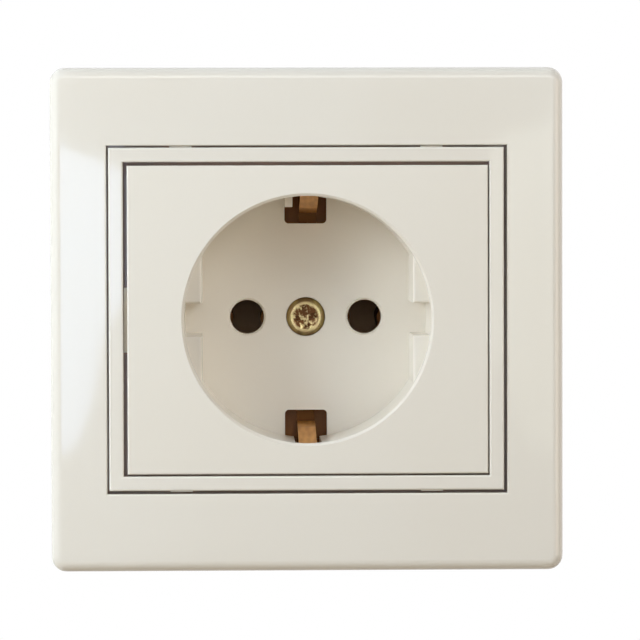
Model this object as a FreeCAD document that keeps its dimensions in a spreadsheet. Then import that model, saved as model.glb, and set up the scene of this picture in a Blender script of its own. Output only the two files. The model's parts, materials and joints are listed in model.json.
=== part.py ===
import FreeCAD, Part
import math
import os

import Sketcher
from FreeCAD import Placement, Rotation, Vector

# Type f wall socket for flush mounting.
# X runs to the right, Y runs into the wall and Z runs up, seen from the room.
# The origin lies on the pin centre line where the bracket's back meets the wall face,
# so the front faces have negative Y and the mechanism behind the wall has positive Y.

DRIVING_SIZES = [
    ("side_band", 8.9, "cover frame, visible band left and right of its opening"),
    ("top_band", 12.3, "cover frame, visible band above and below its opening"),
    ("frame_depth", 9.8, "how far the frame stands off the wall"),
    ("frame_wall", 2.0, "cover frame, outer wall and front skin"),
    ("frame_corner", 2.4, "cover frame, corner radius seen from the front"),
    ("frame_edge", 1.7, "cover frame, rounding of the front outer edge"),
    ("window_wall", 1.6, "wall around the opening in the cover frame"),
    ("window_edge", 0.3, "rounding of the opening's front edge"),
    ("ledge_width", 2.1, "ledge of the cover frame that the ring rests on"),
    ("ledge_back", 2.8, "back of that ledge, ahead of the wall"),
    ("ledge_thick", 1.4, "thickness of that ledge"),
    ("rib_thick", 1.2, "stiffening ribs of the mouldings"),
    ("ring_gap", 0.4, "gap between the opening and the ring"),
    ("ring_band", 2.29, "width of the ring's band"),
    ("ring_front", 10.1, "front of the ring, ahead of the wall"),
    ("ring_flange", 1.2, "thickness of the ring's inner flange"),
    ("ring_flange_width", 2.0, "width of the ring's inner flange"),
    ("ring_edge", 0.3, "rounding of the ring's front edges"),
    ("clip_width", 3.5, "snap nose on the ring"),
    ("clip_place", 19.75, "snap noses, distance from the middle"),
    ("clip_rise", 0.25, "how far a snap nose stands out"),
    ("seat_gap", 0.1, "assembly gap between stacked pieces"),
    ("frame_across", 0.1, "how far the frame sits to the left"),
    ("frame_up", 0.02, "how far the frame sits up"),
    ("ring_across", 0.2, "how far the ring sits to the left"),
    ("ring_up", 0.12, "how far the ring sits up"),
    ("plate_gap", 0.41, "gap between the ring and the socket plate"),
    ("plate_side", 7.3, "socket plate, from the well's wall out to its left and right edges"),
    ("plate_top", 3.2, "socket plate, from the well's wall out to its upper and lower edges"),
    ("plate_front", 10.0, "front of the socket plate, ahead of the wall"),
    ("plate_thick", 2.0, "front skin of the socket plate"),
    ("plate_skirt", 1.6, "rim wall of the socket plate"),
    ("plate_edge", 0.3, "rounding of the plate's front edges"),
    ("guide_width", 10.2, "guide tab on the left of the plate's rim, height"),
    ("guide_rise", 0.5, "how far the guide tab stands out"),
    ("guide_sunk", 1.1, "front of the guide tab below the plate's face"),
    ("well_radius", 19.5, "well for the plug, radius"),
    ("well_depth", 17.5, "well for the plug, depth"),
    ("well_wall", 1.6, "wall of the well"),
    ("well_edge", 0.4, "bevel of the well's rim"),
    ("floor_thick", 2.0, "floor of the well"),
    ("guide_stand", 2.8, "side guides, from the well's wall in to their flat face"),
    ("guide_groove", 5.1, "groove between the upper and lower side guide"),
    ("guide_depth", 2.6, "side guides start this far below the front"),
    ("guide_edge", 0.4, "rounding of the side guides"),
    ("pin_pitch", 19.0, "distance between the pin holes"),
    ("pin_hole_radius", 2.75, "pin hole, radius"),
    ("pin_hole_edge", 0.3, "bevel of a pin hole's mouth"),
    ("recess_radius", 3.18, "recess for the centre screw's head, radius"),
    ("recess_depth", 1.0, "recess for the centre screw's head, depth"),
    ("window_inner", 15.1, "inner edge of an earth opening, from the middle"),
    ("window_wide", 6.8, "earth opening in the floor, width"),
    ("window_round", 0.65, "earth opening, corner radius"),
    ("slot_width", 4.2, "slot in the well's wall for an earth spring"),
    ("slot_aside", 0.1, "how far the slots sit to the right"),
    ("stop_width", 1.15, "stop block left of the upper slot, width"),
    ("stop_rise", 1.75, "how far the stop block stands in from the well's wall"),
    ("stop_gap", 0.3, "between the stop block and the slot"),
    ("stop_front", 5.0, "front of the stop block below the plate's face"),
    ("slot_top", 1.4, "slot in the well's wall starts below the front"),
    ("bracket_side_room", 3.4, "room between the bracket and the frame's side walls"),
    ("bracket_top_room", 2.7, "room between the bracket and the frame's top and bottom walls"),
    ("bracket_thick", 1.2, "bracket, sheet thickness"),
    ("bracket_corner", 5.0, "bracket, corner radius"),
    ("bracket_clear", 0.5, "room between the well and the bracket"),
    ("notch_width", 8.8, "bracket, notch for an earth spring, width"),
    ("lug_width", 5.0, "bonding lug of the bracket, width"),
    ("lug_length", 6.0, "bonding lug of the bracket, reach behind the wall face"),
    ("box_pitch", 60.0, "distance between the wall box screws"),
    ("box_slot_radius", 1.9, "slot for a wall box screw, half width"),
    ("box_slot_length", 5.4, "slot for a wall box screw, length"),
    ("collar_clear", 0.4, "room between the well and the base's collar"),
    ("collar_wall", 2.4, "base, wall of the collar"),
    ("collar_side", 1.3, "base, wall left at the flats of the collar"),
    ("boss_wall", 1.3, "base, wall round a bracket screw"),
    ("base_step", 1.4, "base, step in from the collar to the body"),
    ("base_depth", 31.0, "base, back face, behind the wall face"),
    ("base_rear_wall", 3.4, "base, rear wall"),
    ("base_edge", 1.2, "base, bevel of the rear edge"),
    ("access_depth", 2.0, "base, flat recess over the terminal screws"),
    ("entry_funnel", 0.8, "base, bevel of a wire entry's mouth"),
    ("cover_shoulder", 1.5, "contact cover, smaller than the collar all round"),
    ("cover_thick", 1.6, "contact cover, thickness"),
    ("chamber_wide", 8.6, "contact chamber, width"),
    ("chamber_high", 8.4, "contact chamber, height"),
    ("chamber_gap", 0.4, "room around a terminal in its chamber"),
    ("chamber_end", 1.6, "room behind the terminals and contacts"),
    ("sheet_thick", 0.8, "earth strap, sheet thickness"),
    ("strap_width", 8.0, "earth strap, width"),
    ("strap_setback", 0.8, "earth strap, its wide part stops this far short of an earth opening"),
    ("finger_width", 2.85, "earth spring, width"),
    ("finger_tip", 16.8, "earth spring, tip from the middle"),
    ("finger_aside", 0.35, "how far the upper earth spring sits to the right"),
    ("leaf_thick", 0.7, "pin contact, sheet thickness"),
    ("leaf_high", 6.4, "pin contact, leaf height"),
    ("pinch", 2.2, "pin contact, half gap at the pinch"),
    ("leaf_spread", 3.2, "pin contact, half gap at the back"),
    ("terminal_wide", 6.2, "terminal block, width"),
    ("terminal_high", 8.0, "terminal block, height"),
    ("terminal_lead", 2.8, "terminal block, front face behind the contact chamber's"),
    ("terminal_low", 8.0, "live terminal blocks, lower face above the middle"),
    ("earth_top", 10.0, "earth terminal block, inner face below the middle"),
    ("wire_radius", 1.5, "wire hole in a terminal block, radius"),
    ("entry_radius", 1.9, "wire entry in the base, radius"),
    ("screw_radius", 1.7, "terminal screw, radius"),
    ("screw_head", 2.5, "terminal screw, head radius"),
    ("slack", 0.05, "running gap around a screw in its hole"),
    ("claw_stand", 2.8, "claw screw, distance from the collar's flat"),
    ("claw_offset", 7.5, "claw screw, height off the middle"),
    ("claw_screw_radius", 1.5, "claw screw, radius"),
    ("claw_head", 2.75, "claw screw, head radius"),
    ("claw_width", 11.0, "claw, width"),
    ("claw_thick", 1.8, "claw, sheet thickness"),
    ("claw_rest", 10.5, "claw, front of its foot ahead of the base's back face"),
    ("claw_arm", 9.5, "claw, length of its arm"),
    ("claw_reach", 3.1, "claw, middle of its arm from the screw"),
    ("claw_tooth", 1.6, "claw, length of a tooth"),
    ("claw_flare", 0.75, "claw, how far the teeth lean out"),
    ("claw_foot_gap", 0.5, "gap between a claw's foot and the collar's flat"),
    ("claw_head_gap", 0.35, "play under a claw screw's head"),
    ("rail_rise", 1.7, "ramp for a claw, rise"),
    ("rail_groove", 4.8, "groove between the two rails of a ramp"),
    ("bolt_radius", 1.5, "centre screw, radius"),
    ("bolt_head", 3.1, "centre screw, head radius"),
    ("bolt_crown", 2.45, "centre screw, radius of the head's flat"),
    ("bolt_head_high", 1.6, "centre screw, height of the head"),
    ("nut_width", 5.5, "centre nut, across flats"),
    ("nut_thick", 2.4, "centre nut, thickness"),
    ("pilot_radius", 1.0, "screws into the base, radius"),
    ("pilot_depth", 8.0, "holes for the screws into the base, depth"),
    ("small_head", 1.9, "screws into the base, head radius"),
]


class Size:
    """A length known both as a number and as an expression on the spreadsheet."""

    def __init__(self, value, text):
        self.value = value
        self.text = text

    def join(self, other, sign, work, swap=False):
        other = other if isinstance(other, Size) else Size(float(other), repr(float(other)))
        first, second = (other, self) if swap else (self, other)
        return Size(work(first.value, second.value), f"({first.text} {sign} {second.text})")

    def __add__(self, other):
        return self.join(other, "+", lambda a, b: a + b)

    def __radd__(self, other):
        return self.join(other, "+", lambda a, b: a + b, True)

    def __sub__(self, other):
        return self.join(other, "-", lambda a, b: a - b)

    def __rsub__(self, other):
        return self.join(other, "-", lambda a, b: a - b, True)

    def __mul__(self, other):
        return self.join(other, "*", lambda a, b: a * b)

    def __rmul__(self, other):
        return self.join(other, "*", lambda a, b: a * b, True)

    def __truediv__(self, other):
        return self.join(other, "/", lambda a, b: a / b)

    def __neg__(self):
        return self * -1.0

    def __float__(self):
        return self.value


def root(size):
    return Size(math.sqrt(size.value), f"sqrt({size.text})")


class Sheet:
    """The driving sizes, each an attribute named by its alias."""

    def __init__(self, doc):
        cells = doc.addObject("Spreadsheet::Sheet", "Sizes")
        for row, (alias, value, meaning) in enumerate(DRIVING_SIZES, start=1):
            cells.set(f"A{row}", alias)
            cells.set(f"B{row}", str(value))
            cells.setAlias(f"B{row}", alias)
            cells.set(f"C{row}", meaning)
            setattr(self, alias, Size(float(value), f"Sizes.{alias}"))


doc = FreeCAD.newDocument("WallSocket")
D = Sheet(doc)
doc.recompute()

MIDDLE = Size(0.0, "0.0")
SIDES = {"left": -1.0, "right": 1.0}


# Outlines drawn in a sketch


class Outline:
    """Draws closed outlines in one sketch, every point tied to the sheet."""

    def __init__(self, sketch):
        self.sketch = sketch

    def tie(self, kind, *place, size):
        number = self.sketch.addConstraint(Sketcher.Constraint(kind, *place, float(size)))
        self.sketch.setExpression(f"Constraints[{number}]", size.text)

    def place_point(self, edge, end, across, up):
        self.tie("DistanceX", -1, 1, edge, end, size=across)
        self.tie("DistanceY", -1, 1, edge, end, size=up)

    def line(self, start, end):
        first = Vector(float(start[0]), float(start[1]), 0)
        last = Vector(float(end[0]), float(end[1]), 0)
        return self.sketch.addGeometry(Part.LineSegment(first, last), False)

    def polygon(self, points):
        points = [tuple(MIDDLE + c for c in point) for point in points]
        edges = [self.line(a, b) for a, b in zip(points, points[1:] + points[:1])]
        for edge, after in zip(edges, edges[1:] + edges[:1]):
            self.sketch.addConstraint(Sketcher.Constraint("Coincident", edge, 2, after, 1))
        for edge, (across, up) in zip(edges, points):
            self.place_point(edge, 1, across, up)

    def box(self, left, right, low, high):
        self.polygon([(left, low), (right, low), (right, high), (left, high)])

    def rectangle(self, width, height, across=MIDDLE, up=MIDDLE):
        self.box(across - width / 2, across + width / 2, up - height / 2, up + height / 2)

    def circle(self, radius, across=MIDDLE, up=MIDDLE):
        centre = Vector(float(across), float(up), 0)
        ring = Part.Circle(centre, Vector(0, 0, 1), float(radius))
        edge = self.sketch.addGeometry(ring, False)
        self.tie("Radius", edge, size=radius)
        self.place_point(edge, 3, MIDDLE + across, MIDDLE + up)

    def slot(self, length, half_width, across, up, upright=False):
        """A slot that runs along the sketch's first axis, or along its second."""
        reach = length / 2 - half_width
        along = (0.0, 1.0) if upright else (1.0, 0.0)
        aside = (-along[1], along[0])
        ends = []
        for sign in (1.0, -1.0):
            place = (across + sign * along[0] * reach, up + sign * along[1] * reach)
            turn = math.atan2(sign * along[1], sign * along[0])
            centre = Vector(float(place[0]), float(place[1]), 0)
            circle = Part.Circle(centre, Vector(0, 0, 1), float(half_width))
            arc = Part.ArcOfCircle(circle, turn - math.pi / 2, turn + math.pi / 2)
            edge = self.sketch.addGeometry(arc, False)
            self.place_point(edge, 3, *place)
            self.tie("Radius", edge, size=half_width)
            ends.append((edge, place))
        for (first, start), (last, end), side in ((*ends, 1.0), (*ends[::-1], -1.0)):
            shift = [side * float(half_width) * part for part in aside]
            corners = [(float(p[0]) + shift[0], float(p[1]) + shift[1]) for p in (start, end)]
            edge = self.line(*corners)
            self.sketch.addConstraint(Sketcher.Constraint("Tangent", first, 2, edge, 1))
            self.sketch.addConstraint(Sketcher.Constraint("Tangent", edge, 2, last, 1))

    def guide(self, flat, groove, radius, side, level):
        """One side guide of the well: a groove wall, a flat and the curve of the well."""
        near = (side * flat, level * groove / 2)
        outer = (side * root(radius * radius - groove * groove / 4), level * groove / 2)
        tip = (side * flat, level * root(radius * radius - flat * flat))
        angles = [math.atan2(float(p[1]), float(p[0])) for p in (outer, tip)]
        forward = side * level > 0
        first, last = angles if forward else angles[::-1]
        if last < first:
            last += 2 * math.pi
        circle = Part.Circle(Vector(0, 0, 0), Vector(0, 0, 1), float(radius))
        arc = self.sketch.addGeometry(Part.ArcOfCircle(circle, first, last), False)
        wall = self.line(near, outer)
        face = self.line(tip, near)
        outer_end, tip_end = (1, 2) if forward else (2, 1)
        join = self.sketch.addConstraint
        join(Sketcher.Constraint("Coincident", arc, 3, -1, 1))
        self.tie("Radius", arc, size=radius)
        join(Sketcher.Constraint("Coincident", wall, 2, arc, outer_end))
        join(Sketcher.Constraint("Coincident", face, 1, arc, tip_end))
        join(Sketcher.Constraint("Coincident", face, 2, wall, 1))
        join(Sketcher.Constraint("Horizontal", wall))
        join(Sketcher.Constraint("Vertical", face))
        self.place_point(wall, 1, near[0], near[1])


# A piece made of pads, pockets and fillets


class Piece:
    """A body with helpers for the three ways its features look."""

    # A sketch's normal points along -Y on XZ, along +Z on XY and along +X on YZ.

    def __init__(self, label):
        self.body = doc.addObject("PartDesign::Body", label)
        self.body.Label = label
        self.label = label
        self.count = 0

    def sketch(self, plane, offset, draw):
        self.count += 1
        sketch = self.body.newObject("Sketcher::SketchObject", f"{self.label}_sketch_{self.count}")
        planes = self.body.Origin.OriginFeatures
        support = [o for o in planes if o.Role == f"{plane}_Plane"][0]
        sketch.AttachmentSupport = [(support, "")]
        sketch.MapMode = "FlatFace"
        sketch.setExpression("AttachmentOffset.Base.z", (MIDDLE + offset).text)
        draw(Outline(sketch))
        doc.recompute()
        return sketch

    def feature(self, kind, name, profile, length):
        made = self.body.newObject(f"PartDesign::{kind}", f"{self.label}_{name}")
        made.Profile = profile
        made.setExpression("Length", length.text)
        doc.recompute()
        return made

    def change(self, kind, name, profile, length):
        before = self.body.Shape.Volume if self.body.Tip else 0.0
        self.feature(kind, name, profile, length)
        grown = self.body.Shape.Volume - before
        wanted = 1.0 if kind == "Pad" else -1.0
        if grown * wanted <= 0:
            raise RuntimeError(f"{self.label}: {name} changed nothing")

    def pad(self, name, back, front, draw):
        """Material from y=back forward to y=front."""
        back, front = MIDDLE + back, MIDDLE + front
        self.change("Pad", name, self.sketch("XZ", -back, draw), back - front)

    def pocket(self, name, front, back, draw):
        """A cut from y=front back to y=back."""
        back, front = MIDDLE + back, MIDDLE + front
        self.change("Pocket", name, self.sketch("XZ", -front, draw), back - front)

    def pad_up(self, name, low, high, draw):
        """Material from z=low up to z=high, drawn on X and Y."""
        low, high = MIDDLE + low, MIDDLE + high
        self.change("Pad", name, self.sketch("XY", low, draw), high - low)

    def pocket_down(self, name, high, low, draw):
        """A cut from z=high down to z=low, drawn on X and Y."""
        low, high = MIDDLE + low, MIDDLE + high
        self.change("Pocket", name, self.sketch("XY", high, draw), high - low)

    def round_edges(self, name, radius, wanted, kind="Fillet"):
        tip = self.body.Tip
        names = [f"Edge{i}" for i, e in enumerate(tip.Shape.Edges, start=1) if wanted(e)]
        if not names:
            raise RuntimeError(f"{self.label}: no edges for {name}")
        made = self.body.newObject(f"PartDesign::{kind}", f"{self.label}_{name}")
        made.Base = (tip, names)
        made.setExpression("Radius" if kind == "Fillet" else "Size", radius.text)
        doc.recompute()

    def place(self, across=MIDDLE, up=MIDDLE):
        self.body.setExpression("Placement.Base.x", (MIDDLE + across).text)
        self.body.setExpression("Placement.Base.z", (MIDDLE + up).text)
        doc.recompute()


# Tests that pick edges by where they lie

NEAR = 0.01


def same(a, b):
    return abs(a - float(b)) < NEAR


def at_depth(edge, y):
    box = edge.BoundBox
    return same(box.YMin, y) and same(box.YMax, y)


def runs_deep(edge):
    box = edge.BoundBox
    return box.XLength < NEAR and box.ZLength < NEAR and box.YLength > NEAR


def edge_corner(edge, half_width, half_height):
    """A straight edge along Y at the corner of a rectangle."""
    centre = edge.BoundBox.Center
    at_corner = same(abs(centre.x), half_width) and same(abs(centre.z), half_height)
    return runs_deep(edge) and at_corner


def on_rectangle(edge, half_width, half_height):
    """An edge of a rectangle's outline, its round corners included."""
    box = edge.BoundBox
    wide = max(abs(box.XMin), abs(box.XMax))
    tall = max(abs(box.ZMin), abs(box.ZMax))
    return same(wide, half_width) or same(tall, half_height)


def is_round(edge, radius):
    curve = edge.Curve
    return curve.TypeId == "Part::GeomCircle" and same(curve.Radius, radius)


# Shared places

frame_front = -D.frame_depth
plate_face = -D.plate_front
ledge_front = -(D.ledge_back + D.ledge_thick)
ring_back = ledge_front - D.seat_gap
ring_flange_front = ring_back - D.ring_flange
plate_back = ring_flange_front - D.seat_gap
cup_radius = D.well_radius + D.well_wall
plate_width = 2 * (cup_radius + D.plate_side)
plate_height = 2 * (cup_radius + D.plate_top)
ring_inside_width = plate_width + 2 * D.plate_gap
ring_inside_height = plate_height + 2 * D.plate_gap
ring_width = ring_inside_width + 2 * D.ring_band
ring_height = ring_inside_height + 2 * D.ring_band
window_width = ring_width + 2 * D.ring_gap
window_height = ring_height + 2 * D.ring_gap
frame_width = window_width + 2 * D.side_band
frame_height = window_height + 2 * D.top_band
bracket_width = frame_width - 2 * (D.frame_wall + D.bracket_side_room)
bracket_height = frame_height - 2 * (D.frame_wall + D.bracket_top_room)
bracket_opening = cup_radius + D.bracket_clear
collar_inner = cup_radius + D.collar_clear
collar_outer = collar_inner + D.collar_wall
collar_flat = collar_inner + D.collar_side
base_radius = collar_outer - D.base_step
cover_radius = collar_inner - D.cover_shoulder
spring_channel = collar_inner + 2.3
claw_place = collar_flat + D.claw_stand
floor_front = D.well_depth - D.plate_front
floor_back = floor_front + D.floor_thick
strap_front = floor_back + D.seat_gap
strap_back = strap_front + D.sheet_thick
cover_front = strap_back + D.seat_gap
cover_back = cover_front + D.cover_thick
chamber_front = cover_back + D.seat_gap
chamber_back = D.base_depth - D.base_rear_wall
collar_depth = cover_back
pin_place = D.pin_pitch / 2
terminal_front = chamber_front + D.terminal_lead
terminal_back = chamber_back - D.chamber_end
terminal_deep = terminal_back - terminal_front
terminal_screw_y = terminal_front + terminal_deep / 2
claw_front = D.base_depth - D.claw_rest
fixing_place = (collar_inner + D.pilot_radius + 0.7) * math.sqrt(0.5)
guide_flat = D.well_radius - D.guide_stand
cover_screw_x = cover_radius * 0.65
cover_screw_z = -cover_radius * 0.62
live_wire_up = D.terminal_low + D.wire_radius + 2.0
live_top = D.terminal_low + D.terminal_high
earth_low = -(D.earth_top + D.terminal_high)
earth_wire_up = -(D.earth_top + D.wire_radius + 2.0)
tongue_width = D.strap_width * 0.75


# Cover frame


def make_cover_frame():
    piece = Piece("cover_frame")
    half_width, half_height = frame_width / 2, frame_height / 2
    inner_width = frame_width - 2 * D.frame_wall
    inner_height = frame_height - 2 * D.frame_wall
    wall_width = window_width + 2 * D.window_wall
    wall_height = window_height + 2 * D.window_wall
    skin_back = frame_front + D.frame_wall

    piece.pad("shell", MIDDLE, frame_front, lambda o: o.rectangle(frame_width, frame_height))
    piece.round_edges("corners", D.frame_corner, lambda e: edge_corner(e, half_width, half_height))

    def hollow(outline):
        outline.rectangle(inner_width, inner_height)
        outline.rectangle(wall_width, wall_height)

    piece.pocket("hollow", skin_back, MIDDLE, hollow)
    piece.pocket("short_wall", -D.ledge_back, MIDDLE, lambda o: o.rectangle(wall_width, wall_height))
    piece.pocket("opening", frame_front, ledge_front, lambda o: o.rectangle(window_width, window_height))
    through_width = window_width - 2 * D.ledge_width
    through_height = window_height - 2 * D.ledge_width
    piece.pocket("ledge", ledge_front, -D.ledge_back, lambda o: o.rectangle(through_width, through_height))

    def ribs(outline):
        for side in (-1.0, 1.0):
            for level in (-1.0, 1.0):
                x = side * (wall_width + inner_width) / 4
                z = side * (wall_height + inner_height) / 4
                wide = (inner_width - wall_width) / 2 + 1.0
                tall = (inner_height - wall_height) / 2 + 1.0
                outline.rectangle(wide, D.rib_thick, x, level * window_height / 4)
                outline.rectangle(D.rib_thick, tall, level * window_width / 4, z)

    piece.pad("ribs", -D.ledge_back, skin_back, ribs)
    piece.round_edges(
        "front_edge",
        D.frame_edge,
        lambda e: at_depth(e, frame_front) and on_rectangle(e, half_width, half_height),
    )
    piece.round_edges(
        "opening_edge",
        D.window_edge,
        lambda e: at_depth(e, frame_front)
        and on_rectangle(e, window_width / 2, window_height / 2),
    )
    piece.place(-D.frame_across, D.frame_up)
    return piece.body


# Trim ring


def make_trim_ring():
    piece = Piece("trim_ring")
    front = -D.ring_front
    piece.pad("band", ring_back, front, lambda o: o.rectangle(ring_width, ring_height))
    piece.pocket(
        "opening",
        front,
        ring_flange_front,
        lambda o: o.rectangle(ring_inside_width, ring_inside_height),
    )
    flange_width = ring_inside_width - 2 * D.ring_flange_width
    flange_height = ring_inside_height - 2 * D.ring_flange_width
    piece.pocket("flange", ring_flange_front, ring_back, lambda o: o.rectangle(flange_width, flange_height))
    piece.round_edges(
        "front_edges",
        D.ring_edge,
        lambda e: at_depth(e, front),
    )

    def snap_noses(outline):
        for level in (-1.0, 1.0):
            for side in (-1.0, 1.0):
                up = level * (ring_height / 2 + (D.clip_rise - D.ring_edge) / 2)
                outline.rectangle(D.clip_width, D.clip_rise + D.ring_edge, side * D.clip_place, up)

    nose_front = front + 1.2
    piece.pad("snap_noses", ring_back, nose_front, snap_noses)
    piece.place(-D.ring_across, D.ring_up)
    return piece.body


# Socket plate with its well


def make_socket_plate():
    piece = Piece("socket_plate")
    skin_back = plate_face + D.plate_thick
    half_width, half_height = plate_width / 2, plate_height / 2
    cup_join = skin_back - 0.5

    piece.pad("plate", plate_back, plate_face, lambda o: o.rectangle(plate_width, plate_height))

    def hollow(outline):
        outline.rectangle(plate_width - 2 * D.plate_skirt, plate_height - 2 * D.plate_skirt)
        outline.circle(cup_radius)

    piece.pocket("hollow", skin_back, plate_back, hollow)
    piece.pad("cup", floor_back, cup_join, lambda o: o.circle(cup_radius))
    piece.round_edges(
        "plate_edge",
        D.plate_edge,
        lambda e: at_depth(e, plate_face) and on_rectangle(e, half_width, half_height),
    )
    piece.pocket("well", plate_face, floor_front, lambda o: o.circle(D.well_radius))
    piece.round_edges(
        "rim",
        D.well_edge,
        lambda e: at_depth(e, plate_face) and is_round(e, D.well_radius),
        "Chamfer",
    )

    guide_front = plate_face + D.guide_depth
    anchor_radius = D.well_radius + D.well_wall / 2

    def side_guides(outline):
        for side in (-1.0, 1.0):
            for level in (-1.0, 1.0):
                outline.guide(guide_flat, D.guide_groove, anchor_radius, side, level)

    piece.pad("side_guides", floor_back, guide_front, side_guides)
    piece.round_edges(
        "guide_edges",
        D.guide_edge,
        lambda e: at_depth(e, guide_front) and not is_round(e, D.well_radius),
    )

    def pin_holes(outline):
        for side in (-1.0, 1.0):
            outline.circle(D.pin_hole_radius, side * pin_place)

    piece.pocket("pin_holes", floor_front, floor_back, pin_holes)
    piece.round_edges(
        "pin_hole_edges",
        D.pin_hole_edge,
        lambda e: at_depth(e, floor_front) and is_round(e, D.pin_hole_radius),
        "Chamfer",
    )
    recess_back = floor_front + D.recess_depth
    piece.pocket("screw_recess", floor_front, recess_back, lambda o: o.circle(D.recess_radius))
    piece.pocket("screw_hole", recess_back, floor_back, lambda o: o.circle(D.bolt_radius + 0.2))

    # The earth openings take floor and wall: a wide one in the floor, a narrow one up the wall.

    def floor_windows(outline):
        for level in (-1.0, 1.0):
            edges = sorted((level * D.window_inner, level * D.well_radius), key=float)
            outline.box(-D.window_wide / 2, D.window_wide / 2, edges[0], edges[1])

    slot_left = D.slot_aside - D.slot_width / 2

    def wall_slots(outline):
        for level in (-1.0, 1.0):
            edges = sorted((level * (D.well_radius - 1.0), level * (cup_radius + 1.0)), key=float)
            outline.box(slot_left, slot_left + D.slot_width, edges[0], edges[1])

    piece.pocket("floor_windows", floor_front, floor_back, floor_windows)
    piece.round_edges(
        "window_corners",
        D.window_round,
        lambda e: edge_corner(e, D.window_wide / 2, D.window_inner),
    )
    piece.pocket("wall_slots", plate_face + D.slot_top, floor_back, wall_slots)

    def slot_stop(outline):
        right = slot_left - D.stop_gap
        low = D.well_radius - D.stop_rise
        outline.box(right - D.stop_width, right, low, D.well_radius + D.well_wall / 2)

    piece.pad("slot_stop", floor_back, plate_face + D.stop_front, slot_stop)

    def ribs(outline):
        for side in (-1.0, 1.0):
            across = side * (cup_radius + half_width - D.plate_skirt) / 2
            wide = half_width - D.plate_skirt - cup_radius + 1.0
            outline.rectangle(wide, D.rib_thick, across, MIDDLE)

    piece.pad("ribs", plate_back, skin_back - 0.2, ribs)

    def guide_tab(outline):
        """One tab on the left, which keeps the plate from going in the wrong way round."""
        across = -(half_width + (D.guide_rise - D.plate_edge) / 2)
        outline.rectangle(D.guide_rise + D.plate_edge, D.guide_width, across, MIDDLE)

    piece.pad("guide_tab", plate_back, plate_face + D.guide_sunk, guide_tab)
    return piece.body


# Bracket of sheet steel


def make_bracket():
    piece = Piece("mounting_bracket")
    front = -D.bracket_thick
    notch_reach = bracket_opening + 2.1

    piece.pad("sheet", MIDDLE, front, lambda o: o.rectangle(bracket_width, bracket_height))
    piece.round_edges(
        "corners", D.bracket_corner, lambda e: edge_corner(e, bracket_width / 2, bracket_height / 2)
    )
    piece.pocket("opening", front, MIDDLE, lambda o: o.circle(bracket_opening))
    piece.pocket("notches", front, MIDDLE, lambda o: o.rectangle(D.notch_width, 2 * notch_reach))

    def box_slots(outline):
        for side in (-1.0, 1.0):
            outline.slot(D.box_slot_length, D.box_slot_radius, side * D.box_pitch / 2, MIDDLE)

    def upright_slots(outline):
        for level in (-1.0, 1.0):
            outline.slot(D.box_slot_length, D.box_slot_radius, MIDDLE, level * D.box_pitch / 2, True)

    def small_holes(outline):
        for side in (-1.0, 1.0):
            outline.circle(D.claw_screw_radius + 0.3, side * claw_place, -side * D.claw_offset)
            for level in (-1.0, 1.0):
                outline.circle(D.pilot_radius + 0.15, side * fixing_place, level * fixing_place)

    piece.pocket("box_slots", front, MIDDLE, box_slots)
    piece.pocket("upright_slots", front, MIDDLE, upright_slots)
    piece.pocket("small_holes", front, MIDDLE, small_holes)

    def lugs(outline):
        for level in (-1.0, 1.0):
            edges = sorted((level * (notch_reach - D.bracket_thick), level * (notch_reach + 0.3)), key=float)
            outline.box(-D.lug_width / 2, D.lug_width / 2, edges[0], edges[1])

    def lug_reach(outline):
        for level in (-1.0, 1.0):
            edges = sorted((level * (notch_reach - D.bracket_thick), level * notch_reach), key=float)
            outline.box(-D.lug_width / 2, D.lug_width / 2, edges[0], edges[1])

    piece.pad("lug_roots", MIDDLE, front, lugs)
    piece.pad("lugs", D.lug_length, MIDDLE, lug_reach)
    piece.round_edges(
        "lug_bends",
        D.bracket_thick * 0.8,
        lambda e: at_depth(e, front)
        and same(abs(e.BoundBox.Center.z), notch_reach - D.bracket_thick)
        and e.BoundBox.ZLength < NEAR,
    )
    return piece.body


# Base


def rail_outline(side):
    """Side view of a ramp that spreads a claw, drawn on X and Y."""
    low_end = claw_front + D.claw_thick + 0.7
    high_end = collar_depth - 1.0
    inner = base_radius * 0.72
    return [
        (side * inner, high_end),
        (side * (collar_flat - 0.2 + D.rail_rise), high_end),
        (side * (collar_flat - 0.2), low_end),
        (side * inner, low_end),
    ]


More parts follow.
